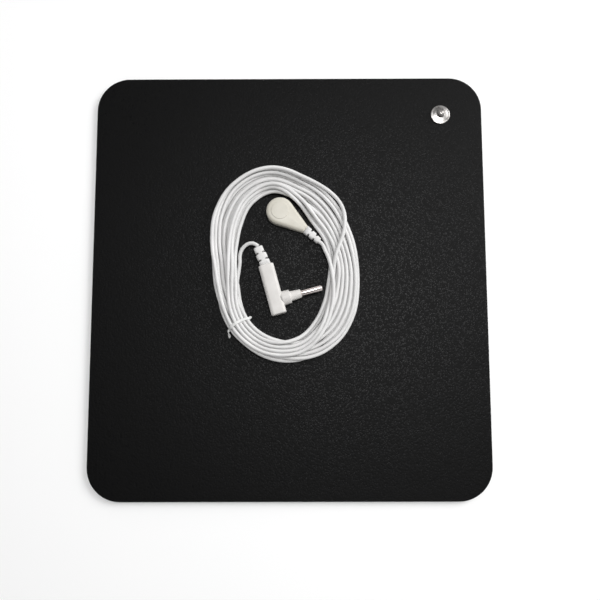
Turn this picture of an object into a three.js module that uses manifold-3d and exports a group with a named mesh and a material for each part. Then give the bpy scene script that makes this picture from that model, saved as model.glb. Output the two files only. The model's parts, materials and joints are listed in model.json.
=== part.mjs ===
// Earthing mouse pad: a leatherette mat with a snap stud, and its coiled earthing lead lying on it.
// Millimetres, +Z up. The origin is the middle of the mat's underside, +Y runs along its longer side.
import * as THREE from "three";
import { mergeVertices } from "three/addons/utils/BufferGeometryUtils.js";
import Module from "manifold-3d";

const wasm = await Module();
wasm.setup();

// Clearances
const seatGap = 0.3; // between a loose piece and the mat that it lies on
const fitGap = 0.3; // between a piece and the hole or groove that it sits in
const overlap = 1; // how far forms that are moulded in one run into each other
const cutPast = 2; // how far a cutting form runs past the face that it cuts

// Mat
const matWidth = 250;
const matLength = 270;
const matThickness = 3;
const matCornerRadius = 21;
const matEdgeRound = 0.4;

// Snap stud on the mat, and the eyelet that rivets it from below
const studFromRightEdge = 26.8;
const studFromTopEdge = 24.9;
const flangeRadius = 6.2;
const flangeRimHeight = 0.7;
const flangeDome = 0.45;
const neckRadius = 2.1;
const neckHeight = 0.25;
const ballRadius = 2.35;
const crownRadius = 1;
const crownThickness = 1.1;
const barrelRadius = 1.3;
const barrelWall = 0.4;
const barrelPlay = 0.4;
const eyeletHeadRadius = 4.6;
const eyeletHeadThickness = 0.6;
const eyeletRecess = 0.2;

// Coil of the lead: chosen points of its outer and inner outline, which a closed curve joins
const coilOuter = [
  [44.5, 8],
  [39, 35],
  [32.5, 52.5],
  [17.5, 66],
  [-2, 74],
  [-20, 75],
  [-34, 68],
  [-47, 50],
  [-50.5, 29],
  [-49, 5],
  [-46, -15],
  [-30, -38],
  [-2, -50.5],
  [28, -41],
  [42, -18],
];
const coilInner = [
  [25.3, 8],
  [23.8, 21.5],
  [20.8, 30],
  [15, 40],
  [7.5, 48.8],
  [-3, 55.8],
  [-16, 56.5],
  [-25.5, 49],
  [-31, 38],
  [-33, 20],
  [-32, 3],
  [-30, -11],
  [-24, -25],
  [-12, -33.5],
  [1, -34],
  [12, -28.5],
  [21, -14],
];
const cordDiameter = 2.4;
const coilHeight = 4.7;
const coilEdgeRound = 1.2;
const outlineSteps = 80;

// Tie that gathers the coil, and the thicker bundle under it
const tieX = -31;
const tieY = -26.3;
const tieAngle = 30.3;
const tieWidth = 1.6;
const tieThickness = 0.8;
const tieOpening = 12.6;
const tieCornerRadius = 1.4;
const tieTailLength = 4.6;
const tieTailAngle = 62;
const bundleHeight = 6.8;
const bundleTopLength = 9;
const bundleBaseLength = 34;

// Right-angle plug
const plugX = -10.4;
const plugY = -4.6;
const plugAngle = 15.2;
const plugWidth = 9.6;
const plugHeight = 9;
const plugLength = 32.1;
const plugSideRound = 2.2;
const plugEndRound = 0.8;
const collarBelowMiddle = 7.1;
const largeCollar = { nearRadius: 4.45, farRadius: 4.3, length: 4.8 };
const smallCollar = { nearRadius: 3.25, farRadius: 2.7, length: 6.9 };
const pinRadius = 2;
const pinLength = 13.5;
const pinChamfer = 0.8;
const shankRadius = 1.4;
const shankLength = 9;

// Snap connector
const snapX = -5.8;
const snapY = 45.5;
const snapAngle = -35.8;
const snapHeadRadius = 8.7;
const snapTailHalfWidth = 2.7;
const snapReach = 20.4;
const snapHeight = 7;
const snapTailHeight = 5.4;
const snapEdgeRound = 2;
const snapDiscRadius = 5.6;
const snapDiscRise = 0.3;
const socketDepth = 4.2;
const clipRadius = 4.4;
const clipThickness = 1;
const clipRecess = 0.2;

// Strain reliefs, from the housing outwards
const plugRelief = { widths: [6.9, 6.8, 6.5], height: 6.2, lobeLength: 3.8, slot: 0.8, web: 2.8, lean: 9 };
const snapRelief = { widths: [5.4, 5, 4.2], height: 4.6, lobeLength: 3.3, slot: 0.8, web: 2.4, lean: -6 };
const lobeRound = 0.6;
const stemRadius = 1.3;
const stemLength = 5;

// Routes of the cord outside the coil, as chosen points
const plugLeadRoute = [
  [-20.6, 23.7, 7.8],
  [-22.2, 24.6, 7.7],
  [-24.2, 24.9, 7.4],
  [-26.2, 24.4, 7],
  [-28.3, 23, 6.5],
  [-29.9, 21.2, 6],
  [-30.9, 18.8, 5.6],
  [-31.3, 16, 5.2],
  [-31.3, 12, 4.9],
  [-31.2, 7.6, 4.7],
];
const snapLeadRoute = [
  [20.2, 25, 6.1],
  [21.2, 23.9, 6.6],
  [22.3, 22, 7.8],
  [23.3, 19.4, 8.9],
  [24.3, 15.8, 9.25],
  [25.5, 11, 9.25],
  [26.4, 5, 9.25],
  [26.8, -1, 9.25],
];
const cordSides = 8;
const cordStep = 4.8;

// Roundness of the turned forms
const turnSteps = 32;
const cornerSteps = 6;

const matTop = matThickness;
const looseBase = matTop + seatGap;
const studX = matWidth / 2 - studFromRightEdge;
const studY = matLength / 2 - studFromTopEdge;
const studBoreRadius = barrelRadius + fitGap;
const tieOpeningHeight = bundleHeight - seatGap - tieThickness + fitGap;
const tieMiddle = seatGap + tieThickness + tieOpeningHeight / 2;

// Booleans and placing
function solidOf(geometry) {
  const bare = geometry.clone();
  bare.deleteAttribute("normal");
  bare.deleteAttribute("uv");
  const merged = mergeVertices(bare, 1e-4);
  const corners = merged.index.array;
  const kept = [];
  for (let i = 0; i < corners.length; i += 3) {
    const [a, b, c] = [corners[i], corners[i + 1], corners[i + 2]];
    if (a !== b && b !== c && c !== a) kept.push(a, b, c);
  }
  const mesh = new wasm.Mesh({
    numProp: 3,
    vertProperties: new Float32Array(merged.attributes.position.array),
    triVerts: new Uint32Array(kept),
  });
  return new wasm.Manifold(mesh);
}

function geometryOf(solid) {
  const mesh = solid.getMesh();
  const geometry = new THREE.BufferGeometry();
  geometry.setAttribute("position", new THREE.BufferAttribute(mesh.vertProperties, 3));
  geometry.setIndex(new THREE.BufferAttribute(mesh.triVerts, 1));
  const faceted = geometry.toNonIndexed();
  faceted.computeVertexNormals();
  return faceted;
}

function join(...geometries) {
  return geometryOf(geometries.map(solidOf).reduce((whole, next) => whole.add(next)));
}

function cut(geometry, ...cutters) {
  return geometryOf(cutters.map(solidOf).reduce((whole, next) => whole.subtract(next), solidOf(geometry)));
}

function common(first, second) {
  return geometryOf(solidOf(first).intersect(solidOf(second)));
}

function boxAt(sizeX, sizeY, sizeZ, x, y, z) {
  return new THREE.BoxGeometry(sizeX, sizeY, sizeZ).translate(x, y, z);
}

function turnedAbout(geometry, x, y, degrees) {
  return geometry.rotateZ(THREE.MathUtils.degToRad(degrees)).translate(x, y, 0);
}

// Outlines
function roundedRectangle(width, height, radius) {
  const [x, y] = [width / 2, height / 2];
  const shape = new THREE.Shape();
  shape.absarc(x - radius, y - radius, radius, 0, Math.PI / 2);
  shape.absarc(radius - x, y - radius, radius, Math.PI / 2, Math.PI);
  shape.absarc(radius - x, radius - y, radius, Math.PI, 1.5 * Math.PI);
  shape.absarc(x - radius, radius - y, radius, 1.5 * Math.PI, 2 * Math.PI);
  return shape;
}

function closedOutline(points) {
  const corners = points.map(([x, y]) => new THREE.Vector3(x, y, 0));
  const round = new THREE.CatmullRomCurve3(corners, true).getPoints(outlineSteps);
  return round.slice(1).map((point) => new THREE.Vector2(point.x, point.y));
}

// A prism with rounded rims that keeps the outline's own size and stands on z = 0
function roundedPrism(shape, height, round, roundSteps = 2) {
  return new THREE.ExtrudeGeometry(shape, {
    depth: height - 2 * round,
    bevelThickness: round,
    bevelSize: round,
    bevelOffset: -round,
    bevelSegments: roundSteps,
    curveSegments: cornerSteps,
  }).translate(0, 0, round);
}

function plainPrism(shape, height) {
  return new THREE.ExtrudeGeometry(shape, {
    depth: height,
    bevelEnabled: false,
    curveSegments: cornerSteps,
  });
}

// A turned form about Z from [radius, height] pairs
function turned(profile) {
  const points = profile.map(([radius, height]) => new THREE.Vector2(radius, height));
  return new THREE.LatheGeometry(points, turnSteps).rotateX(Math.PI / 2);
}

function cylinderUp(radius, from, to, x = 0, y = 0) {
  const cylinder = new THREE.CylinderGeometry(radius, radius, to - from, turnSteps);
  return cylinder.rotateX(Math.PI / 2).translate(x, y, (from + to) / 2);
}

function coneAlongX(nearRadius, farRadius, from, to) {
  const cone = new THREE.CylinderGeometry(farRadius, nearRadius, to - from, turnSteps);
  return cone.rotateZ(-Math.PI / 2).translate((from + to) / 2, 0, 0);
}

function tubeAlong(route) {
  const curve = new THREE.CatmullRomCurve3(route.map((point) => new THREE.Vector3(...point)));
  const section = [];
  for (let i = 0; i < cordSides; i++) {
    const angle = (2 * Math.PI * i) / cordSides;
    const radius = cordDiameter / 2;
    section.push(new THREE.Vector2(radius * Math.cos(angle), radius * Math.sin(angle)));
  }
  return new THREE.ExtrudeGeometry(new THREE.Shape(section), {
    steps: Math.round(curve.getLength() / cordStep),
    extrudePath: curve,
    bevelEnabled: false,
  });
}

function makeMesh(name, geometry, color, roughness, metalness) {
  const material = new THREE.MeshStandardMaterial({ color, roughness, metalness });
  const mesh = new THREE.Mesh(geometry, material);
  mesh.name = name;
  return mesh;
}

function turnedGroup(x, y, z, degrees) {
  const group = new THREE.Group();
  group.position.set(x, y, z);
  group.rotation.z = THREE.MathUtils.degToRad(degrees);
  return group;
}

// Mat, with a hole for the eyelet's barrel and a recess for its head
function makeMat() {
  const outline = roundedRectangle(matWidth, matLength, matCornerRadius);
  const recessTop = eyeletRecess + eyeletHeadThickness;
  const slab = roundedPrism(outline, matThickness, matEdgeRound);
  const hole = cylinderUp(studBoreRadius, -cutPast, matThickness + cutPast, studX, studY);
  const recess = cylinderUp(eyeletHeadRadius + fitGap, -cutPast, recessTop, studX, studY);
  return makeMesh("mat", cut(slab, hole, recess), 0x1c1c1e, 0.75, 0);
}

// Snap stud: a domed flange, a neck and a ball with a small flat crown, bored from below
function makeStud() {
  const neckBase = flangeRimHeight + flangeDome;
  const ballMiddle = neckBase + neckHeight + Math.sqrt(ballRadius ** 2 - neckRadius ** 2);
  const crownTop = ballMiddle + Math.sqrt(ballRadius ** 2 - crownRadius ** 2);
  const profile = [
    [0, crownTop - crownThickness],
    [studBoreRadius, crownTop - crownThickness],
    [studBoreRadius, 0],
    [flangeRadius - flangeRimHeight / 2, 0],
    [flangeRadius, flangeRimHeight / 2],
    [flangeRadius - flangeRimHeight / 2, flangeRimHeight],
    [neckRadius, neckBase],
    [neckRadius, neckBase + neckHeight],
  ];
  const start = -Math.acos(neckRadius / ballRadius);
  const end = Math.acos(crownRadius / ballRadius);
  const arcSteps = 8;
  for (let i = 1; i <= arcSteps; i++) {
    const angle = start + ((end - start) * i) / arcSteps;
    profile.push([ballRadius * Math.cos(angle), ballMiddle + ballRadius * Math.sin(angle)]);
  }
  profile.push([0, crownTop]);
  const stud = makeMesh("snap_stud", turned(profile), 0xd8d8d6, 0.2, 1);
  stud.position.set(studX, studY, matTop);
  return { stud, studHeight: crownTop };
}

// Eyelet: a flat head in the mat's recess and a hollow barrel up into the stud
function makeEyelet(studHeight) {
  const barrelTop = matTop + studHeight - crownThickness - barrelPlay;
  const headTop = eyeletRecess + eyeletHeadThickness;
  const hollowRadius = barrelRadius - barrelWall;
  const profile = [
    [0, barrelTop - barrelWall],
    [hollowRadius, barrelTop - barrelWall],
    [hollowRadius, eyeletRecess],
    [eyeletHeadRadius, eyeletRecess],
    [eyeletHeadRadius, headTop],
    [barrelRadius, headTop],
    [barrelRadius, barrelTop],
    [0, barrelTop],
  ];
  const eyelet = makeMesh("stud_eyelet", turned(profile), 0xc8c8c4, 0.3, 1);
  eyelet.position.set(studX, studY, 0);
  return eyelet;
}

// A prism across the bundle: an outline in X and Z, centred on Y
function bandPrism(outline, width) {
  return plainPrism(outline, width).translate(0, 0, -width / 2).rotateX(Math.PI / 2);
}

// The tie's twisted tail, or the room for it, from the middle of the band's outer side
function tieTail(room) {
  const tail = boxAt(
    tieTailLength + 2 * room,
    tieWidth + 2 * room,
    tieThickness + 2 * room,
    tieTailLength / 2,
    0,
    0,
  );
  tail.rotateZ(THREE.MathUtils.degToRad(180 + tieTailAngle));
  return tail.translate(-(tieOpening + tieThickness) / 2, 0, 0);
}

// Tie: a flat band round the bundle, with its twisted tail at the outer side
function makeTie() {
  const outline = roundedRectangle(
    tieOpening + 2 * tieThickness,
    tieOpeningHeight + 2 * tieThickness,
    tieCornerRadius + tieThickness,
  );
  outline.holes.push(roundedRectangle(tieOpening, tieOpeningHeight, tieCornerRadius));
  const group = turnedGroup(tieX, tieY, matTop + tieMiddle, tieAngle);
  group.add(makeMesh("coil_tie", join(bandPrism(outline, tieWidth), tieTail(0)), 0xe6e5e2, 0.45, 0));
  return group;
}

// Coil: an oval ring that thickens to the bundle under the tie, with a groove where the tie runs
function makeCoil() {
  const ring = new THREE.Shape(closedOutline(coilOuter));
  ring.holes.push(new THREE.Path(closedOutline(coilInner)));
  const low = roundedPrism(ring, coilHeight, coilEdgeRound);
  const tall = roundedPrism(ring, bundleHeight, coilEdgeRound);
  const [top, base] = [bundleTopLength / 2, bundleBaseLength / 2];
  const side = new THREE.Shape();
  side.moveTo(-base, coilHeight - coilEdgeRound);
  side.lineTo(base, coilHeight - coilEdgeRound);
  side.lineTo(top, bundleHeight + cutPast);
  side.lineTo(-top, bundleHeight + cutPast);
  const reach = 2 * tieOpening;
  const rampBasis = new THREE.Matrix4().makeBasis(
    new THREE.Vector3(0, 1, 0),
    new THREE.Vector3(0, 0, 1),
    new THREE.Vector3(1, 0, 0),
  );
  const ramp = plainPrism(side, reach).translate(0, 0, -reach / 2).applyMatrix4(rampBasis);
  const bundle = common(tall, turnedAbout(ramp, tieX, tieY, tieAngle));

  const grooveLength = tieWidth + 2 * fitGap;
  const waistOutline = roundedRectangle(
    tieOpening - 2 * fitGap,
    tieOpeningHeight - 2 * fitGap,
    tieCornerRadius - fitGap,
  );
  const waist = bandPrism(waistOutline, 2 * grooveLength).translate(0, 0, tieMiddle);
  const groove = cut(boxAt(reach, grooveLength, 4 * bundleHeight, 0, 0, 0), waist);
  const tailRoom = tieTail(fitGap).translate(0, 0, tieMiddle);
  const coil = cut(
    join(low, bundle),
    turnedAbout(groove, tieX, tieY, tieAngle),
    turnedAbout(tailRoom, tieX, tieY, tieAngle),
  );
  const mesh = makeMesh("cord_coil", coil, 0xe4e3e1, 0.5, 0);
  mesh.position.z = matTop;
  return mesh;
}

// Strain relief along +X: lobes on a web, open at the sides between them
function reliefGeometry(relief) {
  const pieces = [];
  relief.widths.forEach((width, i) => {
    const outline = roundedRectangle(width, relief.height, lobeRound * 2);
    const lobe = roundedPrism(outline, relief.lobeLength, lobeRound, 1);
    const basis = new THREE.Matrix4().makeBasis(
      new THREE.Vector3(0, 1, 0),
      new THREE.Vector3(0, 0, 1),
      new THREE.Vector3(1, 0, 0),
    );
    lobe.applyMatrix4(basis).translate(i * (relief.lobeLength + relief.slot), 0, 0);
    pieces.push(lobe);
  });
  const webLength = reliefLength(relief) - relief.lobeLength;
  const web = boxAt(webLength, relief.web, relief.height - 2 * lobeRound, 0, 0, 0);
  pieces.push(web.translate((webLength + relief.lobeLength) / 2, 0, 0));
  return join(...pieces);
}

function reliefLength(relief) {
  return relief.widths.length * (relief.lobeLength + relief.slot) - relief.slot;
}

// Plug: a rounded block with two collars and a strain relief, moulded in one, and its metal pin
function makePlug() {
  const outline = roundedRectangle(plugWidth, plugHeight, plugSideRound);
  const block = roundedPrism(outline, plugLength, plugEndRound);
  block.rotateX(Math.PI / 2).translate(0, plugLength / 2, 0);
  const side = plugWidth / 2;
  const largeEnd = side + largeCollar.length;
  const smallEnd = largeEnd + smallCollar.length;
  const large = coneAlongX(largeCollar.nearRadius, largeCollar.farRadius, side - overlap, largeEnd);
  const small = coneAlongX(smallCollar.nearRadius, smallCollar.farRadius, largeEnd - overlap, smallEnd);
  const relief = reliefGeometry(plugRelief).translate(-overlap, 0, 0);
  relief.rotateZ(THREE.MathUtils.degToRad(90 + plugRelief.lean)).translate(0, plugLength / 2, 0);
  for (const collar of [large, small]) collar.translate(0, -collarBelowMiddle, 0);
  const boreLength = shankLength + fitGap;
  const bore = coneAlongX(shankRadius + fitGap, shankRadius + fitGap, smallEnd - boreLength, smallEnd + cutPast);
  bore.translate(0, -collarBelowMiddle, 0);
  const body = cut(join(block, large, small, relief), bore);

  const shoulder = shankLength + seatGap;
  const tip = shoulder + pinLength;
  const pin = turned([
    [0, 0],
    [shankRadius, 0],
    [shankRadius, shoulder],
    [pinRadius, shoulder],
    [pinRadius, tip - pinChamfer],
    [pinRadius - pinChamfer, tip],
    [0, tip],
  ]);
  pin.rotateY(Math.PI / 2).translate(smallEnd - shankLength, -collarBelowMiddle, 0);
  const group = turnedGroup(plugX, plugY, looseBase + plugHeight / 2, plugAngle);
  group.add(makeMesh("plug_body", body, 0xe3e0dc, 0.5, 0));
  group.add(makeMesh("plug_pin", pin, 0xcfcdc8, 0.25, 1));
  return group;
}

// Outline of the snap connector: a round head with straight sides that run to a narrow tail
function snapOutline() {
  const lean = Math.asin((snapHeadRadius - snapTailHalfWidth) / snapReach);
  const shape = new THREE.Shape();
  shape.moveTo(snapReach, -snapTailHalfWidth);
  shape.lineTo(snapReach, snapTailHalfWidth);
  shape.absarc(0, 0, snapHeadRadius, Math.PI / 2 - lean, 1.5 * Math.PI + lean);
  return shape;
}

// Snap connector: the head with its socket, the metal clip in it and the strain relief
function makeSnap() {
  const reach = snapReach + snapHeadRadius;
  const slope = Math.atan((snapHeight - snapTailHeight) / (snapReach - snapDiscRadius));
  const head = roundedPrism(snapOutline(), snapHeight, snapEdgeRound, 3);
  const above = boxAt(reach, 3 * snapHeadRadius, snapHeight, reach / 2, 0, snapHeight / 2);
  above.rotateY(slope).translate(snapDiscRadius, 0, snapHeight - snapDiscRise);
  const clipRoom = cylinderUp(clipRadius + fitGap, -cutPast, clipRecess + clipThickness);
  const socket = cylinderUp(ballRadius + fitGap, -cutPast, socketDepth);
  const stemZ = snapTailHeight / 2;
  const stemRoom = coneAlongX(
    stemRadius + fitGap,
    stemRadius + fitGap,
    snapReach - stemLength - fitGap,
    snapReach + cutPast,
  ).translate(0, 0, stemZ);
  const body = cut(head, above, clipRoom, socket, stemRoom);
  const clip = turned([
    [ballRadius + fitGap, clipRecess],
    [clipRadius, clipRecess],
    [clipRadius, clipRecess + clipThickness - fitGap],
    [ballRadius + fitGap, clipRecess + clipThickness - fitGap],
    [ballRadius + fitGap, clipRecess],
  ]);
  const stem = coneAlongX(stemRadius, stemRadius, snapReach - stemLength, snapReach + overlap + seatGap);
  const relief = reliefGeometry(snapRelief);
  relief.rotateZ(THREE.MathUtils.degToRad(snapRelief.lean)).translate(snapReach + 2 * seatGap, 0, 0);
  const group = turnedGroup(snapX, snapY, looseBase, snapAngle);
  group.add(makeMesh("snap_body", body, 0xdeddd0, 0.4, 0));
  group.add(makeMesh("snap_socket_clip", clip, 0xcfcdc8, 0.25, 1));
  group.add(makeMesh("snap_strain_relief", join(relief, stem).translate(0, 0, stemZ), 0xe6e5e2, 0.5, 0));
  return group;
}

const pad = new THREE.Group();
const { stud, studHeight } = makeStud();
pad.add(makeMat(), stud, makeEyelet(studHeight));
pad.add(makeCoil(), makeTie());
pad.add(makeMesh("cord_plug_lead", tubeAlong(plugLeadRoute), 0xe4e3e1, 0.5, 0));
pad.add(makeMesh("cord_snap_lead", tubeAlong(snapLeadRoute), 0xe4e3e1, 0.5, 0));
pad.add(makePlug(), makeSnap());

export default pad;
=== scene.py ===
# Earthing mouse pad: a black leatherette mat with a snap stud, and its coiled white earthing lead.
# Measures here are millimetres in the CAD frame; they become metres when a mesh or curve is made.
import json
import math

import bmesh
import bpy
import numpy as np
from mathutils import Matrix, Vector

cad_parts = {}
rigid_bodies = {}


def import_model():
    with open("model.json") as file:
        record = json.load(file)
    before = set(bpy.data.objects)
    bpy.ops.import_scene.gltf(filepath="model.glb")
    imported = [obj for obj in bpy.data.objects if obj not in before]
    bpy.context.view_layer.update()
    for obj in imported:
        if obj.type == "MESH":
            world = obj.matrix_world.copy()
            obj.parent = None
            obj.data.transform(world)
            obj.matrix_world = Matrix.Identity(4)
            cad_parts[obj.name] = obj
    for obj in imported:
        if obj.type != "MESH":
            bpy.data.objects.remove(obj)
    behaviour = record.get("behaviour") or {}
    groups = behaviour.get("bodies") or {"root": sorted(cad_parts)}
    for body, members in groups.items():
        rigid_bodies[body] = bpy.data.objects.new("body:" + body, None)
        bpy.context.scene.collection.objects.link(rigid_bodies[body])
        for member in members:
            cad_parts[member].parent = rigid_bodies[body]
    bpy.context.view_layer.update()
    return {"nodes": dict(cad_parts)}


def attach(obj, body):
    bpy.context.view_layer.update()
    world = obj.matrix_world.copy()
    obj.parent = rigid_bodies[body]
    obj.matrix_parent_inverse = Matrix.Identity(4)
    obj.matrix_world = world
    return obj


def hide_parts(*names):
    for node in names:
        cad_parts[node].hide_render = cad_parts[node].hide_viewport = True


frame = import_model()

MM = 0.001
MAT_TOP = 3.0
SEAT_GAP = 0.3
CORD_DIAMETER = 2.4
CORD_RADIUS = CORD_DIAMETER / 2


# Camera, fitted to the edges of the mat in the photo
CAMERA_PLACE = (7.9, -53.9, 411.2)
CAMERA_PITCH = 6.031
CAMERA_YAW = 0.166
CAMERA_ROLL = -0.16
CAMERA_LENS = 39.0


def make_camera():
    data = bpy.data.cameras.new("camera")
    data.sensor_width = 36.0
    data.lens = CAMERA_LENS
    data.clip_start = 0.01
    data.clip_end = 20.0
    camera = bpy.data.objects.new("camera", data)
    turn = (
        Matrix.Rotation(math.radians(CAMERA_PITCH), 4, "X")
        @ Matrix.Rotation(math.radians(CAMERA_YAW), 4, "Y")
        @ Matrix.Rotation(math.radians(CAMERA_ROLL), 4, "Z")
    )
    camera.matrix_world = Matrix.Translation(Vector(CAMERA_PLACE) * MM) @ turn
    bpy.context.scene.collection.objects.link(camera)
    bpy.context.scene.camera = camera


make_camera()


# Route of the cord: the snap end, the coil and the plug end. Band radii are every 20 degrees from +X
COIL_MIDDLE = (-1.7, 11.1)
BAND_INNER = [
    26.6, 27.2, 28.6, 31, 39, 46.8, 44.2, 37, 32.6,
    31.4, 31.4, 35.9, 42.8, 46, 45.2, 37.2, 30.7, 27.1,
]
BAND_OUTER = [
    45.6, 45.8, 48.3, 53.6, 58.4, 64.7, 64, 58.4, 51.3,
    46.9, 49, 53, 56.5, 60.7, 61.7, 59.9, 54.8, 48.8,
]
STEPS = 240
COIL_START = 33.0
COIL_END = 187.0
FULL_TURNS = 14
TIE_AT = 232.0
TIE_LIFT = 0.6
TIE_LIFT_SPREAD = 4.0
WAVER = 0.045
WAVER_FROM = 1.3
HOLD = 0.14
HOLD_FREED_AT_TIE = 0.93
HOLD_SPREAD = 22.0
HOLD_OF_SEEN_STRANDS = 1.5
CONFINE = 6
CONFINE_MORE_AT_TIE = 10
CONFINE_SPREAD = 10.0
WEIGH = 1.6
WEIGH_MORE_AT_TIE = 2
WEIGH_SPREAD = 15.0
SIDESTEP_COST = 30.0
TRY_REACH = 16.0
TRY_STEP = 0.15
LAID_AT_ONCE = 120
JOIN_OVER = 20
ARCH_REACH = 16
ARCH_STEP = 1.25
ARCH_WIDTH = 36.0
PRESSED_IN = 0.08
SNAP_END_SAMPLES = 60
LEAD_END = 0.195
LEAD_RADII = [
    (0, 24.9), (0.03, 25.7), (0.055, 26.5), (0.082, 27.0),
    (0.115, 28.4), (0.143, 30.6), (0.17, 33.1), (0.195, 36.0),
]
LEAD_RISE = [(0, 6.1), (0.02, 6.5), (0.045, 8.0), (0.07, 9.4), (0.09, 9.9), (0.11, 9.8)]
LANES = [
    (0.2, 0.19), (0.35, 0.3), (0.5, 0.55), (0.6, 0.9), (0.68, 1.03), (0.76, 0.97),
    (0.88, 1.03), (0.91, 1.05), (0.925, 1.13), (0.94, 1.24), (0.955, 1.22), (0.975, 1.14),
    (0.998, 0.97), (1.011, 0.75), (1.023, 0.52), (1.05, 0.25), (1.08, 0.12), (1.14, 0.1),
    (1.3, 0.2), (1.95, 0.3), (2.03, 0.62), (2.1, 0.72), (2.17, 0.55), (2.25, 0.32), (2.5, 0.3),
    (7.1, 1.0), (7.8, 0.98), (14.3, 0.02), (14.6, 0.0),
]
PLUG_LEAD = [
    (-20.6, 23.7, 7.8), (-22.2, 24.6, 7.7), (-24.2, 24.9, 7.4), (-26.2, 24.4, 7), (-28.3, 23, 6.5),
    (-29.9, 21.2, 6), (-30.9, 18.8, 5.6), (-31.3, 16, 5.2), (-31.3, 12, 4.9),
]
PLUG_EXIT = (-19.5, 22.9, 7.8)
SNAP_LEAD = [(20.2, 25, 6.1), (21.2, 23.9, 6.6)]
SNAP_EXIT = (18.9, 26.0, 6.0)


def periodic(values, degrees):
    """A smooth closed curve through evenly spaced values, read at these angles."""
    values = np.array(values, float)
    n = len(values)
    at = (np.asarray(degrees) / 360.0 * n) % n
    i = np.floor(at).astype(int)
    u = at - i
    a, b, c, d = values[(i - 1) % n], values[i % n], values[(i + 1) % n], values[(i + 2) % n]
    return b + 0.5 * u * (c - a + u * (2 * a - 5 * b + 4 * c - d + u * (3 * (b - c) + d - a)))


def smoothed(x, sigma):
    """Values blurred along their run, with the ends carried on."""
    n = int(4 * sigma) + 1
    weights = np.exp(-0.5 * (np.arange(-n, n + 1) / sigma) ** 2)
    weights /= weights.sum()
    return np.convolve(np.pad(x, n, mode="reflect", reflect_type="odd"), weights, mode="valid")


def knots(pairs, at):
    """Straight-line values between (place, value) pairs."""
    return np.interp(at, [p[0] for p in pairs], [p[1] for p in pairs])


def near_tie(from_tie, spread):
    return np.exp(-((from_tie / spread) ** 2))


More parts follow.
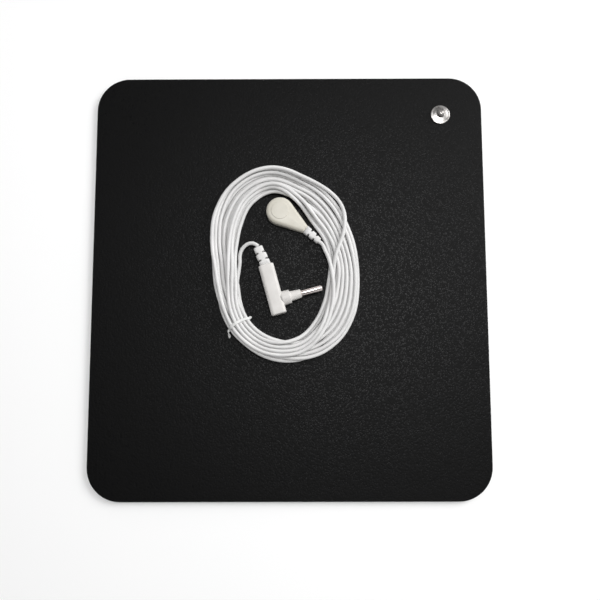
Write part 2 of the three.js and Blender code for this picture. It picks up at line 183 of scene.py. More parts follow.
def laid_coil():
    """The coil's centreline, laid down turn by turn on the turns that already lie there."""
    total = FULL_TURNS + (COIL_START - COIL_END) % 360 / 360.0
    count = int(round(total * STEPS)) + 1
    t = np.arange(count) / STEPS
    phi = COIL_START - 360.0 * t
    inner, outer = periodic(BAND_INNER, phi), periodic(BAND_OUTER, phi)
    middle = (inner + outer) / 2
    slant = 1 / np.sqrt(1 + (np.gradient(middle, np.radians(phi)) / middle) ** 2)
    low, high = inner * slant + CORD_RADIUS, outer * slant - CORD_RADIUS
    waver = np.sin(2 * np.pi * (0.37 * t + 0.1)) + 0.7 * np.sin(2 * np.pi * (0.83 * t + 0.43))
    lane = knots(LANES, t) + WAVER * waver * (t > WAVER_FROM)
    wish = low + lane * (high - low)
    wish = np.where(t < LEAD_END, knots(LEAD_RADII, t) * slant, wish)
    centre = middle * slant
    wish = smoothed(wish - centre, 5) + centre
    from_tie = (phi - TIE_AT + 180) % 360 - 180
    floor = MAT_TOP + CORD_RADIUS + TIE_LIFT * near_tie(from_tie, TIE_LIFT_SPREAD)
    # The end that leaves for the snap and the strand that crosses at the upper right are held to their lanes
    seen_strands = (t < 0.2) | ((t > 0.87) & (t < 1.14))
    hold = HOLD * (1 - HOLD_FREED_AT_TIE * near_tie(from_tie, HOLD_SPREAD))
    hold = np.where(seen_strands, HOLD_OF_SEEN_STRANDS, hold)
    confine = CONFINE + CONFINE_MORE_AT_TIE * near_tie(from_tie, CONFINE_SPREAD)
    weigh = WEIGH + WEIGH_MORE_AT_TIE * near_tie(from_tie, WEIGH_SPREAD)
    offsets = np.arange(-TRY_REACH, TRY_REACH + 0.01, TRY_STEP)
    moves = SIDESTEP_COST * (offsets[:, None] - offsets[None, :]) ** 2
    place, level = np.full(count, np.nan), np.full(count, np.nan)
    turns = STEPS * np.arange(1, FULL_TURNS + 2)

    def resting(idx, v):
        """The height at which the cord rests at these samples and offsets, on the mat or on laid turns."""
        below = idx[:, None] + turns[None, :]
        there = below < count
        below = np.minimum(below, count - 1)
        sides = np.where(there, place[below], 1e3)
        tops = np.where(there, level[below], 0)
        if v.ndim == 2:
            sides, tops = sides[:, None, :], tops[:, None, :]
        gap = v[..., None] - sides
        rise = np.sqrt(np.clip(CORD_DIAMETER ** 2 - gap ** 2, 0, None))
        on_cord = np.where(np.abs(gap) < CORD_DIAMETER, tops + rise, 0).max(-1)
        return np.maximum(on_cord, floor[idx][:, None] if v.ndim == 2 else floor[idx])

    # From the plug end back to the snap end, a stretch at a time: the cheapest offsets, then the height
    done = count
    last = None
    raw = np.full(count, np.nan)
    while done > 0:
        first = max(0, done - LAID_AT_ONCE)
        idx = np.arange(done - 1, first - 1, -1)
        tried = wish[idx][:, None] + offsets[None, :]
        near = np.minimum(low[idx], wish[idx])[:, None]
        far = np.maximum(high[idx], wish[idx])[:, None]
        wall = np.clip(near - tried, 0, None) + np.clip(tried - far, 0, None)
        stray = np.minimum(offsets ** 2, 6 + np.abs(offsets))[None, :]
        cost = weigh[idx][:, None] * resting(idx, tried)
        cost = cost + hold[idx][:, None] * stray
        cost = cost + confine[idx][:, None] * wall
        best = cost[0].copy() if last is None else cost[0] + moves[last]
        back = []
        for n in range(1, len(idx)):
            step = best[:, None] + moves
            came = step.argmin(0)
            back.append(came)
            best = step[came, np.arange(len(offsets))] + cost[n]
        state = best.argmin()
        path = [state]
        for came in reversed(back):
            state = came[state]
            path.append(state)
        path = path[::-1]
        last = path[-1]
        raw[idx] = offsets[path]
        near_by = smoothed(raw[first : first + 3 * LAID_AT_ONCE], 5)[: 2 * LAID_AT_ONCE]
        span = np.arange(first, first + len(near_by))
        place[span] = near_by + wish[span]
        touch = resting(span, place[span])
        padded = np.pad(touch, ARCH_REACH, mode="edge")
        arch = []
        for s in range(-ARCH_REACH, ARCH_REACH + 1):
            beside = padded[ARCH_REACH + s : ARCH_REACH + s + len(touch)]
            arch.append(beside - (s * ARCH_STEP) ** 2 / ARCH_WIDTH)
        lifted = np.maximum(smoothed(np.max(arch, axis=0), 3), touch - PRESSED_IN)
        fresh = min(len(span), done - first + JOIN_OVER)
        if fresh < len(span):
            part = span[:fresh]
            share = np.clip((fresh - np.arange(fresh)) / JOIN_OVER, 0, 1)
            old = np.where(np.isnan(level[part]), lifted[:fresh], level[part])
            level[part] = share * lifted[:fresh] + (1 - share) * old
        else:
            level[span] = lifted
        done = first
    level = np.where(t < 0.11, np.maximum(level, knots(LEAD_RISE, t)), level)
    level[:SNAP_END_SAMPLES] = smoothed(level, 4)[:SNAP_END_SAMPLES]
    radius, angle = place / slant, np.radians(phi)
    x = COIL_MIDDLE[0] + radius * np.cos(angle)
    y = COIL_MIDDLE[1] + radius * np.sin(angle)
    return np.stack([x, y, level], 1)


def spline(points, step):
    """Catmull-Rom through these points, resampled at about this step."""
    p = np.array(points, float)
    p = np.vstack([2 * p[0] - p[1], p, 2 * p[-1] - p[-2]])
    out = []
    for i in range(1, len(p) - 2):
        a, b, c, d = p[i - 1], p[i], p[i + 1], p[i + 2]
        n = max(2, int(round(np.linalg.norm(c - b) / 0.25)))
        u = np.linspace(0, 1, n, endpoint=False)[:, None]
        out.append(b + 0.5 * u * (c - a + u * (2 * a - 5 * b + 4 * c - d + u * (3 * (b - c) + d - a))))
    out.append(p[-2][None])
    fine = np.vstack(out)
    run = np.concatenate([[0], np.cumsum(np.linalg.norm(np.diff(fine, axis=0), axis=1))])
    at = np.linspace(0, run[-1], max(2, int(round(run[-1] / step)) + 1))
    return np.stack([np.interp(at, run, fine[:, k]) for k in range(3)], 1)


def cord_path():
    """The whole cord, from where it leaves the snap's relief to where it enters the plug's."""
    coil = laid_coil()
    head = [SNAP_EXIT, *SNAP_LEAD]
    tail = [*reversed(PLUG_LEAD), PLUG_EXIT]
    whole = np.vstack([head, coil[10:-6:2], tail])
    return spline(whole, 2.0)


route = cord_path()


# Mesh helpers
def add_object(name, verts, faces, smooth=True):
    mesh = bpy.data.meshes.new(name)
    mesh.from_pydata([tuple(c * MM for c in v) for v in verts], [], faces)
    work = bmesh.new()
    work.from_mesh(mesh)
    bmesh.ops.recalc_face_normals(work, faces=work.faces)
    work.to_mesh(mesh)
    work.free()
    if smooth:
        mesh.shade_smooth()
    piece = bpy.data.objects.new(name, mesh)
    bpy.context.scene.collection.objects.link(piece)
    return piece


def placed(points, x, y, z, degrees):
    c, s = math.cos(math.radians(degrees)), math.sin(math.radians(degrees))
    return [(x + c * p[0] - s * p[1], y + s * p[0] + c * p[1], z + p[2]) for p in points]


def ring_faces(rings, count, closed=False):
    faces = []
    for r in range(rings if closed else rings - 1):
        a, b = r * count, ((r + 1) % rings) * count
        for i in range(count):
            j = (i + 1) % count
            faces.append((a + i, a + j, b + j, b + i))
    return faces


def loft(name, rings, place=(0, 0, 0, 0), closed=False):
    """One skin over rings of equally many points, with its two ends capped or joined to each other."""
    count = len(rings[0])
    verts = [p for ring in rings for p in ring]
    faces = ring_faces(len(rings), count, closed)
    if not closed:
        faces.append(tuple(reversed(range(count))))
        faces.append(tuple(range((len(rings) - 1) * count, len(rings) * count)))
    return add_object(name, placed(verts, *place), faces)


def turned(name, profile, place, shift=(0, 0, 0), axis="Z", sides=96):
    """A turned form from (radius, height) pairs; a radius of 0 closes it with a point."""
    verts, faces, rows = [], [], []
    for radius, height in profile:
        if radius < 1e-6:
            rows.append([len(verts)])
            verts.append((0, 0, height))
        else:
            rows.append(list(range(len(verts), len(verts) + sides)))
            for i in range(sides):
                a = 2 * math.pi * i / sides
                verts.append((radius * math.cos(a), radius * math.sin(a), height))
    for a, b in zip(rows, rows[1:]):
        for i in range(sides):
            j = (i + 1) % sides
            face = [a[i % len(a)], a[j % len(a)], b[j % len(b)], b[i % len(b)]]
            face = list(dict.fromkeys(face))
            if len(face) > 2:
                faces.append(tuple(face))
    if axis == "X":
        verts = [(h, x, y) for x, y, h in verts]
    verts = [(x + shift[0], y + shift[1], z + shift[2]) for x, y, z in verts]
    return add_object(name, placed(verts, *place), faces)


def rounded_section(half_x, half_z, radius, steps=5):
    """A rounded rectangle in X and Z."""
    radius = min(radius, half_x - 1e-3, half_z - 1e-3)
    points = []
    for k, (sx, sz) in enumerate([(1, 1), (-1, 1), (-1, -1), (1, -1)]):
        corner_x = sx * (half_x - radius)
        corner_z = sz * (half_z - radius)
        for i in range(steps + 1):
            a = math.radians(90 * k + 90 * i / steps)
            points.append((corner_x + radius * math.cos(a), corner_z + radius * math.sin(a)))
    return points


def arc(centre_r, centre_h, radius, start, end, steps):
    """Points (radius, height) of an arc in a turned form's profile, by angle from outwards."""
    out = []
    for i in range(steps + 1):
        a = math.radians(start + (end - start) * i / steps)
        out.append((centre_r + radius * math.cos(a), centre_h + radius * math.sin(a)))
    return out


# Materials
def new_material(name):
    material = bpy.data.materials.new(name)
    material.use_nodes = True
    tree = material.node_tree
    shader = tree.nodes["Principled BSDF"]
    return material, tree, shader


def node(tree, kind, **settings):
    made = tree.nodes.new(kind)
    for key, value in settings.items():
        if key in made.inputs:
            made.inputs[key].default_value = value
        else:
            setattr(made, key, value)
    return made


def place_of(tree):
    return node(tree, "ShaderNodeTexCoord").outputs["Object"]


def noise(tree, scale, detail=3.0, roughness=0.5):
    made = node(tree, "ShaderNodeTexNoise", Scale=scale, Detail=detail, Roughness=roughness)
    tree.links.new(place_of(tree), made.inputs["Vector"])
    return made.outputs["Fac"]


def ramp(tree, source, stops):
    made = node(tree, "ShaderNodeValToRGB")
    band = made.color_ramp
    while len(band.elements) < len(stops):
        band.elements.new(0.5)
    for element, (at, colour) in zip(band.elements, stops):
        element.position = at
        element.color = (*colour, 1.0) if len(colour) == 3 else colour
    tree.links.new(source, made.inputs["Fac"])
    return made.outputs["Color"]


def bump(tree, shader, source, strength, distance):
    made = node(tree, "ShaderNodeBump", Strength=strength, Distance=distance)
    tree.links.new(source, made.inputs["Height"])
    tree.links.new(made.outputs["Normal"], shader.inputs["Normal"])
    return made


def grey(value):
    return (value, value, value)


def plastic(name, low, high, roughness, coat=0.0, grain=900.0, depth=0.00004):
    """Moulded plastic: faint cloudiness, a fine spark-eroded grain and uneven gloss."""
    material, tree, shader = new_material(name)
    tree.links.new(ramp(tree, noise(tree, 90.0), [(0.35, low), (0.65, high)]), shader.inputs["Base Color"])
    gloss = ramp(tree, noise(tree, 260.0), [(0.3, grey(roughness - 0.06)), (0.7, grey(roughness + 0.08))])
    tree.links.new(gloss, shader.inputs["Roughness"])
    shader.inputs["Specular IOR Level"].default_value = 0.4
    shader.inputs["Coat Weight"].default_value = coat
    shader.inputs["Coat Roughness"].default_value = 0.25
    bump(tree, shader, noise(tree, grain, 2.0), 0.25, depth)
    return material


def metal(name, low, high, roughness, grain=2600.0):
    """Plated metal: slightly uneven tone, fine polishing marks."""
    material, tree, shader = new_material(name)
    tree.links.new(ramp(tree, noise(tree, 220.0), [(0.35, low), (0.7, high)]), shader.inputs["Base Color"])
    gloss = ramp(tree, noise(tree, 700.0), [(0.3, grey(roughness * 0.85)), (0.75, grey(roughness * 1.15))])
    tree.links.new(gloss, shader.inputs["Roughness"])
    shader.inputs["Metallic"].default_value = 1.0
    bump(tree, shader, noise(tree, grain, 2.0), 0.06, 0.00001)
    return material


def leatherette():
    """Black coated fabric: pebbled grain of small cells with creases between them and fine pores. Its base
    colour is painted lighter on the cell tops and darker in the creases, a painted highlight and painted
    shade over the grain.
    """
    material, tree, shader = new_material("mat_leatherette")
    spot = place_of(tree)
    stir = node(tree, "ShaderNodeTexNoise", Scale=520.0, Detail=3.0)
    tree.links.new(spot, stir.inputs["Vector"])
    bend = node(tree, "ShaderNodeMixRGB", blend_type="ADD")
    bend.inputs[0].default_value = 0.0006
    tree.links.new(spot, bend.inputs[1])
    tree.links.new(stir.outputs["Color"], bend.inputs[2])
    cells = node(tree, "ShaderNodeTexVoronoi", Scale=880.0, feature="SMOOTH_F1", Smoothness=0.35)
    tree.links.new(bend.outputs[0], cells.inputs["Vector"])
    pores = noise(tree, 2100.0, 4.0, 0.65)
    height = node(tree, "ShaderNodeMath", operation="MULTIPLY_ADD")
    height.inputs[1].default_value = 0.6
    tree.links.new(pores, height.inputs[0])
    tree.links.new(cells.outputs["Distance"], height.inputs[2])
    # Base colour by cell: lighter on the cell tops and darker towards the creases, a painted highlight on
    # the tops and painted shade in the creases over the grain pattern
    grain = [
        (0.1, (0.0022, 0.0022, 0.0025)),
        (0.5, (0.0006, 0.0006, 0.0007)),
        (0.8, (0.0002, 0.0002, 0.0002)),
    ]
    tone = ramp(tree, cells.outputs["Distance"], grain)
    cloud = ramp(tree, noise(tree, 14.0, 4.0), [(0.3, grey(0.8)), (0.7, grey(1.2))])
    mixed = node(tree, "ShaderNodeMixRGB", blend_type="MULTIPLY")
    mixed.inputs[0].default_value = 1.0
    tree.links.new(tone, mixed.inputs[1])
    tree.links.new(cloud, mixed.inputs[2])
    tree.links.new(mixed.outputs[0], shader.inputs["Base Color"])
    rough = ramp(tree, cells.outputs["Distance"], [(0.1, grey(0.2)), (0.5, grey(0.56))])
    tree.links.new(rough, shader.inputs["Roughness"])
    shader.inputs["Specular IOR Level"].default_value = 0.13
    bump(tree, shader, height.outputs[0], 1.0, 0.0001)
    return material


MATERIALS = {
    "mat_leatherette": leatherette(),
    "cord_sheath": plastic(
        "cord_sheath", (0.64, 0.635, 0.63), (0.7, 0.695, 0.69), 0.42, grain=1300.0, depth=0.00002
    ),
    "plug_plastic": plastic("plug_plastic", (0.62, 0.6, 0.58), (0.67, 0.65, 0.63), 0.48),
    "relief_plastic": plastic("relief_plastic", (0.64, 0.63, 0.62), (0.7, 0.695, 0.69), 0.5),
    "snap_plastic": plastic(
        "snap_plastic", (0.56, 0.535, 0.465), (0.61, 0.585, 0.515), 0.42, coat=0.05, grain=700.0
    ),
    "tie_plastic": plastic("tie_plastic", (0.66, 0.66, 0.65), (0.72, 0.72, 0.71), 0.4),
    "stud_metal": metal("stud_metal", (0.42, 0.4, 0.385), (0.47, 0.46, 0.45), 0.3),
    "eyelet_metal": metal("eyelet_metal", (0.68, 0.66, 0.62), (0.78, 0.76, 0.73), 0.26),
    "pin_metal": metal("pin_metal", (0.8, 0.71, 0.68), (0.87, 0.81, 0.79), 0.28),
    "clip_metal": metal("clip_metal", (0.7, 0.69, 0.66), (0.8, 0.79, 0.77), 0.22),
}


def dress(piece, slot, *stands_for):
    """A piece's material, slot and body, and the CAD nodes that it stands for."""
    piece.data.materials.clear()
    piece.data.materials.append(MATERIALS[slot])
    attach(piece, "root")
    if stands_for:
        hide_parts(*stands_for)
    return piece


def dress_node(name, slot):
    """A CAD node that keeps showing gets the slot's material."""
    held = frame["nodes"][name]
    for child in [held, *held.children_recursive]:
        if child.type == "MESH":
            for place in child.material_slots:
                place.material = MATERIALS[slot]


# Cord
def make_cord():
    data = bpy.data.curves.new("cord", "CURVE")
    data.dimensions = "3D"
    data.bevel_depth = CORD_RADIUS * MM
    data.bevel_resolution = 4
    data.use_fill_caps = True
    line = data.splines.new("POLY")
    line.points.add(len(route) - 1)
    for point, (x, y, z) in zip(line.points, route):
        point.co = (x * MM, y * MM, z * MM, 1)
    line.use_smooth = True
    piece = bpy.data.objects.new("cord", data)
    bpy.context.scene.collection.objects.link(piece)
    return piece


cord = dress(make_cord(), "cord_sheath", "cord_coil", "cord_plug_lead", "cord_snap_lead")


# Tie round the coil
TIE = (-31.0, -26.3)
TIE_ANGLE = 30.3
TIE_WIDTH = 1.8
TIE_THICKNESS = 0.5
TIE_BOW = 1.3


def tie_wrap_line():
    """The closed line round the gathered turns, in the tie's own X and Z."""
    c, s = math.cos(math.radians(TIE_ANGLE)), math.sin(math.radians(TIE_ANGLE))
    x, y = route[:, 0] - TIE[0], route[:, 1] - TIE[1]
    across, along = c * x + s * y, -s * x + c * y
    near = (np.abs(along) < 2.0) & (np.abs(across) < 14)
    reach = CORD_RADIUS + TIE_THICKNESS / 2 + 0.05
    turn = np.radians(np.arange(0, 360, 12))
    cloud = []
    for a, z in zip(across[near], route[near, 2]):
        cloud += list(zip(a + reach * np.cos(turn), z + reach * np.sin(turn)))
    cloud = sorted(set((round(a, 4), round(b, 4)) for a, b in cloud))

    def turns_left(a, b, p):
        return (b[0] - a[0]) * (p[1] - a[1]) > (b[1] - a[1]) * (p[0] - a[0])

    def half(points):
        hull = []
        for p in points:
            while len(hull) > 1 and not turns_left(hull[-2], hull[-1], p):
                hull.pop()
            hull.append(p)
        return hull[:-1]

    hull = np.array(half(cloud) + half(cloud[::-1]))
    hull = np.vstack([hull, hull[:1]])
    run = np.concatenate([[0], np.cumsum(np.linalg.norm(np.diff(hull, axis=0), axis=1))])
    at = np.linspace(0, run[-1], 97)[:-1]
    return np.stack([np.interp(at, run, hull[:, k]) for k in range(2)], 1)


def strip_section(width, thickness, round_by=0.25, steps=3):
    return rounded_section(width / 2, thickness / 2, round_by, steps)


def make_tie():
    line = tie_wrap_line()
    line[:, 1] = np.maximum(line[:, 1], MAT_TOP + 0.02 + TIE_THICKNESS / 2)
    ahead = np.roll(line, -1, axis=0) - np.roll(line, 1, axis=0)
    ahead /= np.linalg.norm(ahead, axis=1)[:, None]
    half = (line[:, 0].max() - line[:, 0].min()) / 2
    middle = (line[:, 0].max() + line[:, 0].min()) / 2
    rings = []
    for (x, z), (dx, dz) in zip(line, ahead):
        bow = TIE_BOW * max(0.0, 1 - ((x - middle) / half) ** 2)
        rings.append([(x + dz * t, w + bow, z - dx * t) for w, t in strip_section(TIE_WIDTH, TIE_THICKNESS)])
    return loft("tie_band", rings, closed=True, place=(*TIE, 0, TIE_ANGLE)), line


def ribbon(name, points, width, thickness, twist, place):
    """A twisted strip along these points, in the tie's own frame."""
    path = spline(points, 0.35)
    rings = []
    for k, p in enumerate(path):
        d = path[min(k + 1, len(path) - 1)] - path[max(k - 1, 0)]
        d /= np.linalg.norm(d)
        up = np.array([0.0, 0.0, 1.0])
        side = np.cross(d, up)
        side /= np.linalg.norm(side)
        up = np.cross(side, d)
        a = math.radians(twist * k / (len(path) - 1))
        u = math.cos(a) * side + math.sin(a) * up
        v = -math.sin(a) * side + math.cos(a) * up
        rings.append([tuple(p + u * w + v * t) for w, t in strip_section(width, thickness)])
    return loft(name, rings, place=place)


tie_band, tie_line = make_tie()
tie_band = dress(tie_band, "tie_plastic", "coil_tie")
tie_out = float(tie_line[:, 0].min())
tie_in = float(tie_line[:, 0].max())
tie_mid = float(tie_line[:, 1].mean())
tie_tail = dress(
    ribbon(
        "tie_tail",
        [
            (tie_out + 0.2, 0.1, tie_mid + 0.4),
            (tie_out - 0.7, -0.9, tie_mid - 0.2),
            (tie_out - 1.3, -2.4, tie_mid - 1.2),
            (tie_out - 1.9, -4.1, tie_mid - 2.2),
        ],
        1.5, 0.6, 250, (*TIE, 0, TIE_ANGLE),
    ),
    "tie_plastic",
)
tie_nub = dress(
    ribbon(
        "tie_nub",
        [
            (tie_in - 0.2, -0.1, tie_mid + 1.3),
            (tie_in + 0.5, 0.1, tie_mid + 1.2),
            (tie_in + 1.1, 0.5, tie_mid + 0.7),
        ],
        1.7, 1.1, 40, (*TIE, 0, TIE_ANGLE),
    ),
    "tie_plastic",
)


# Plug and its strain relief
PLUG = (-10.4, -4.6)
PLUG_Z = 7.8
PLUG_ANGLE = 15.2
PLUG_PLACE = (*PLUG, PLUG_Z, PLUG_ANGLE)
PLUG_HALF = (4.8, 4.5)
PLUG_LENGTH = 32.1
COLLAR_Y = -7.1
PLUG_RELIEF = {"widths": [6.8, 6.8, 5.9], "height": 6.2, "lobe": 3.6, "slot": 1.0, "web": 2.6, "lean": 9}
SNAP_RELIEF = {"widths": [5.4, 5, 4.2], "height": 4.6, "lobe": 3.1, "slot": 1.0, "web": 2.3, "lean": -6}


def make_plug_block():
    rings = []
    end = PLUG_LENGTH / 2
    round_end = 0.8
    ys = []
    for i in range(6):
        a = math.radians(18 * i)
        ys.append((-end + round_end * (1 - math.cos(a)), round_end * (1 - math.sin(a))))
    middle = [(-end + 3, 0), (-6, 0), (0, 0), (6, 0), (end - 3, 0)]
    tail = [(-y, inset) for y, inset in reversed(ys)]
    for y, inset in ys + middle + tail:
        section = rounded_section(PLUG_HALF[0] - inset, PLUG_HALF[1] - inset, 2.2 - 0.6 * inset, 7)
        rings.append([(x, y, z) for x, z in section])
    return loft("plug_block", rings, place=PLUG_PLACE)


def relief_rings(relief, start):
    """Lobes with a narrow web between them, rounded at their rims, along +Y."""
    rings = []
    y = start
    corner = 1.5
    edge = 0.55
    web = relief["web"] / 2
    for k, width in enumerate(relief["widths"]):
        half, tall = width / 2, relief["height"] / 2
        if k == 0:
            rings.append((y, half, tall))
        else:
            for i in range(5):
                a = math.radians(90 * i / 4)
                rings.append((y + edge * (1 - math.cos(a)), half - edge * (1 - math.sin(a)), tall))
        y += relief["lobe"]
        for i in range(5):
            a = math.radians(90 * i / 4)
            rings.append((y - edge * (1 - math.sin(a)), half - edge * (1 - math.cos(a)), tall))
        if k < len(relief["widths"]) - 1:
            rings.append((y + 0.02, web + 0.15, tall))
            rings.append((y + 0.2, web, tall))
            rings.append((y + relief["slot"] - 0.2, web, tall))
            rings.append((y + relief["slot"] - 0.02, web + 0.15, tall))
            y += relief["slot"]
    last = relief["widths"][-1] / 2
    rings.append((y + 0.02, last - 1.0, relief["height"] / 2 - 0.5))
    return [(y, w, h, corner if w > web + 0.2 else 0.35) for y, w, h in rings]


def make_relief(name, relief, start, base, place, along_x=False):
    rings = []
    lean = math.radians(relief["lean"])
    for y, w, h, corner in relief_rings(relief, start):
        ring = []
        run = y - start
        bend = lean * min(1.0, run / 1.5)
        for x, z in rounded_section(w, h, corner, 5):
            px = x * math.cos(bend) - run * math.sin(bend)
            py = start + run * math.cos(bend) + x * math.sin(bend)
            ring.append((py, -px, z + base) if along_x else (px, py, z + base))
        rings.append(ring)
    return loft(name, rings, place=place)


plug_block = dress(make_plug_block(), "plug_plastic", "plug_body")
plug_collar = dress(
    turned(
        "plug_collar",
        [
            (0, 3.6), (4.46, 3.6), (4.46, 4.9), (4.44, 5.6), (4.36, 8.7),
            *arc(3.98, 9.25, 0.35, 0, 90, 5),
            (3.5, 9.6), (3.2, 9.75), (3.12, 10.1), (2.74, 15.9),
            *arc(2.36, 16.15, 0.35, 0, 90, 5),
            (0, 16.5),
        ],
        PLUG_PLACE, (0, COLLAR_Y, 0), "X",
    ),
    "plug_plastic",
)
plug_pin = dress(
    turned(
        "pin",
        [
            (0, 12.0), (1.4, 12.0), (1.4, 16.4), (1.75, 16.6),
            *arc(1.8, 16.95, 0.2, -60, 0, 3),
            (2.0, 29.3), (1.92, 29.55), (1.55, 30.0), (1.2, 30.22), (0.8, 30.3), (0, 30.3),
        ],
        PLUG_PLACE, (0, COLLAR_Y, 0), "X",
    ),
    "pin_metal", "plug_pin",
)
plug_relief = dress(
    make_relief("plug_relief", PLUG_RELIEF, PLUG_LENGTH / 2 - 0.6, 0, PLUG_PLACE),
    "relief_plastic",
)


# Snap connector
SNAP = (-5.8, 45.5)
SNAP_Z = MAT_TOP + SEAT_GAP
SNAP_ANGLE = -35.8
SNAP_PLACE = (*SNAP, SNAP_Z, SNAP_ANGLE)
HEAD_RADIUS = 8.7
TAIL_HALF = 2.7
TAIL_REACH = 20.4
HEAD_HEIGHT = 7.0
TAIL_HEIGHT = 5.4
SOCKET_RADIUS = 5.0
SOCKET_DEPTH = 4.2
DOME_RISE = 0.35


def between(first, last, steps):
    """Evenly spaced points inside a straight line."""
    dx, dy = last[0] - first[0], last[1] - first[1]
    return [(first[0] + dx * k / steps, first[1] + dy * k / steps) for k in range(1, steps)]


def drop_outline(inset):
    """The snap's outline pulled in by inset: a circle run into a narrower rounded tail."""
    end_radius = 1.1
    tail_x = TAIL_REACH - end_radius
    tail_y = TAIL_HALF - end_radius
    spread = math.hypot(tail_x, tail_y)
    lean = math.atan2(tail_y, tail_x) + math.acos((HEAD_RADIUS - end_radius) / spread)
    points = []
    for i in range(60):
        a = lean + (2 * math.pi - 2 * lean) * i / 59
        points.append((math.cos(a) * (HEAD_RADIUS - inset), math.sin(a) * (HEAD_RADIUS - inset)))
    keep = max(end_radius - inset, 0.05)
    back = max(0.0, inset - end_radius + 0.05)
    cx, cy = tail_x - back, max(tail_y - back, 0.1)
    corner = []
    for i in range(6):
        a = -lean + lean * i / 5
        corner.append((cx + math.cos(a) * keep, -cy + math.sin(a) * keep))
    for i in range(6):
        a = lean * i / 5
        corner.append((cx + math.cos(a) * keep, cy + math.sin(a) * keep))
    return points + between(points[-1], corner[0], 12) + corner + between(corner[-1], points[0], 12)


def make_snap_body():
    """The snap's drop-shaped head: its socket, underside, rounded side and slightly domed top."""
    outline = drop_outline(0)

    def tall(x):
        share = min(1.0, max(0.0, x / TAIL_REACH))
        share = share * share * (3 - 2 * share)
        return HEAD_HEIGHT + (TAIL_HEIGHT - HEAD_HEIGHT) * share

    def socket(radius, z):
        ring = []
        for x, y in outline:
            a = math.atan2(y, x)
            ring.append((radius * math.cos(a), radius * math.sin(a), z))
        return ring

    rings = [
        socket(0.4, SOCKET_DEPTH),
        socket(SOCKET_RADIUS - 0.3, SOCKET_DEPTH),
        socket(SOCKET_RADIUS, SOCKET_DEPTH - 0.3),
        socket(SOCKET_RADIUS, 0.2),
        socket(SOCKET_RADIUS + 0.2, 0),
    ]
    rings.append([(x, y, 0) for x, y in drop_outline(0.6)])
    for i in range(1, 5):
        a = math.radians(90 * i / 4)
        rings.append([(x, y, 0.6 * (1 - math.cos(a))) for x, y in drop_outline(0.6 * (1 - math.sin(a)))])
    side = 2.6
    for i in range(9):
        a = math.radians(90 * i / 8)
        inset = side * (1 - math.cos(a)) * 0.85
        down = side * 0.8 * (1 - math.sin(a))
        rings.append([(x, y, tall(x) - DOME_RISE - down) for x, y in drop_outline(inset)])
    for share, rise in ((0.75, 0.18), (0.5, 0.28), (0.25, 0.33), (0.02, 0.35)):
        rim = drop_outline(side * 0.85)
        rings.append([(x * share, y * share, tall(x * share) - DOME_RISE + rise) for x, y in rim])
    return loft("snap_housing", rings, place=SNAP_PLACE)


snap_housing = dress(make_snap_body(), "snap_plastic", "snap_body")
snap_disc = dress(
    turned(
        "snap_disc",
        [(0, 6.2), (5.3, 6.2), *arc(5.25, 6.66, 0.3, -20, 90, 6), (4.6, 7.0), (2.5, 7.07), (0, 7.1)],
        SNAP_PLACE, (0, 0, 0),
    ),
    "snap_plastic",
)
snap_relief = dress(
    make_relief("snap_relief", SNAP_RELIEF, TAIL_REACH - 0.3, 2.7, SNAP_PLACE, along_x=True),
    "relief_plastic", "snap_strain_relief",
)
dress_node("snap_socket_clip", "clip_metal")


# Stud on the mat and the eyelet under it
STUD = (98.2, 110.1)


def make_stud():
    neck = 2.1
    ball = 2.35
    ball_middle = 2.45
    under = [(0, 3.48), (1.6, 3.48), (1.6, 0.0), (5.8, 0.0)]
    rim = arc(5.85, 0.35, 0.35, -90, 90, 8)
    dome = [(5.5, 0.74), (5.2, 0.72), (4.9, 0.78), (4.2, 0.93), (3.4, 1.06), (2.7, 1.14), (2.3, 1.22)]
    dome += [(2.14, 1.28), (neck, 1.38)]
    start = -math.degrees(math.acos(neck / ball))
    crown = arc(0, ball_middle, ball, start, 64.5, 22)
    cap = [(0.6, ball_middle + 2.126), (0, ball_middle + 2.1265)]
    return turned("stud", under + rim + dome + crown + cap, (STUD[0], STUD[1], MAT_TOP, 0))


def make_eyelet():
    hollow = [(0, 5.5), (0.85, 5.5), (0.9, 5.3), (0.9, 0.9), (1.1, 0.45), (1.5, 0.22), (3.9, 0.2)]
    barrel = [(1.5, 0.8), (1.3, 1.0), (1.3, 5.8), (1.1, 6.0), (0, 6.0)]
    profile = hollow + arc(4.3, 0.5, 0.3, -90, 90, 8) + barrel
    return turned("eyelet", profile, (STUD[0], STUD[1], 0, 0))


stud = dress(make_stud(), "stud_metal", "snap_stud")
eyelet = dress(make_eyelet(), "eyelet_metal", "stud_eyelet")


# Mat
dress_node("mat", "mat_leatherette")


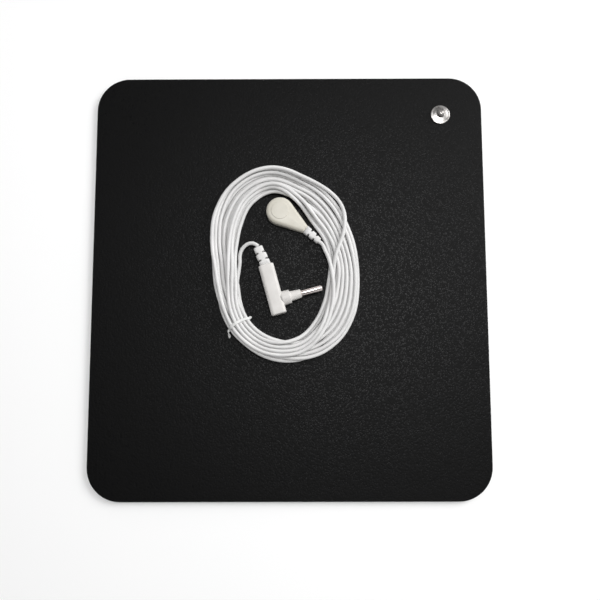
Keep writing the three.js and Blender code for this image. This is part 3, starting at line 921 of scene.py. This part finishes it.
# Floor, world and lights
def make_floor():
    verts = [(-2500, -2500, 0), (2500, -2500, 0), (2500, 2500, 0), (-2500, 2500, 0)]
    piece = add_object("floor", verts, [(0, 1, 2, 3)], smooth=False)
    material, tree, shader = new_material("floor_paper")
    tone = ramp(tree, noise(tree, 3.0), [(0.3, grey(0.96)), (0.7, grey(0.975))])
    tree.links.new(tone, shader.inputs["Base Color"])
    shader.inputs["Roughness"].default_value = 0.9
    shader.inputs["Specular IOR Level"].default_value = 0.1
    piece.data.materials.append(material)


def make_light(name, place, aim, size, power):
    data = bpy.data.lights.new(name, "AREA")
    data.shape = "RECTANGLE"
    data.size, data.size_y = size
    data.energy = power
    lamp = bpy.data.objects.new(name, data)
    lamp.location = place
    lamp.rotation_mode = "QUATERNION"
    lamp.rotation_quaternion = (Vector(aim) - Vector(place)).to_track_quat("-Z", "Y")
    bpy.context.scene.collection.objects.link(lamp)


def make_world():
    """A studio dome: dark overhead, bright all round lower down, and brighter towards the upper right."""
    world = bpy.data.worlds.new("studio")
    world.use_nodes = True
    tree = world.node_tree
    back = tree.nodes["Background"]
    aim = node(tree, "ShaderNodeTexCoord").outputs["Generated"]
    split = node(tree, "ShaderNodeSeparateXYZ")
    tree.links.new(aim, split.inputs[0])
    by_height = [(0.0, grey(0.95)), (0.5, grey(1.0)), (0.62, grey(0.07)), (1.0, grey(0.01))]
    dome = ramp(tree, split.outputs["Z"], by_height)
    side = node(tree, "ShaderNodeVectorMath", operation="DOT_PRODUCT")
    side.inputs[1].default_value = (0.72, 0.69, 0.0)
    tree.links.new(aim, side.inputs[0])
    shift = node(tree, "ShaderNodeMath", operation="MULTIPLY_ADD")
    shift.inputs[1].default_value = 0.5
    shift.inputs[2].default_value = 0.5
    tree.links.new(side.outputs["Value"], shift.inputs[0])
    turn = ramp(tree, shift.outputs[0], [(0.1, grey(0.5)), (0.9, grey(1.0))])
    both = node(tree, "ShaderNodeMixRGB", blend_type="MULTIPLY")
    both.inputs[0].default_value = 1.0
    tree.links.new(dome, both.inputs[1])
    tree.links.new(turn, both.inputs[2])
    tree.links.new(both.outputs[0], back.inputs["Color"])
    back.inputs["Strength"].default_value = 1.0
    bpy.context.scene.world = world


make_floor()
make_world()
make_light("key", (1.4, 0.8, 1.0), (0, -0.05, 0), (0.9, 0.9), 22.0)
make_light("overhead", (0.12, 0.14, 1.1), (0.04, 0.0, 0), (0.5, 0.5), 7.4)
bpy.context.scene.view_settings.view_transform = "Standard"
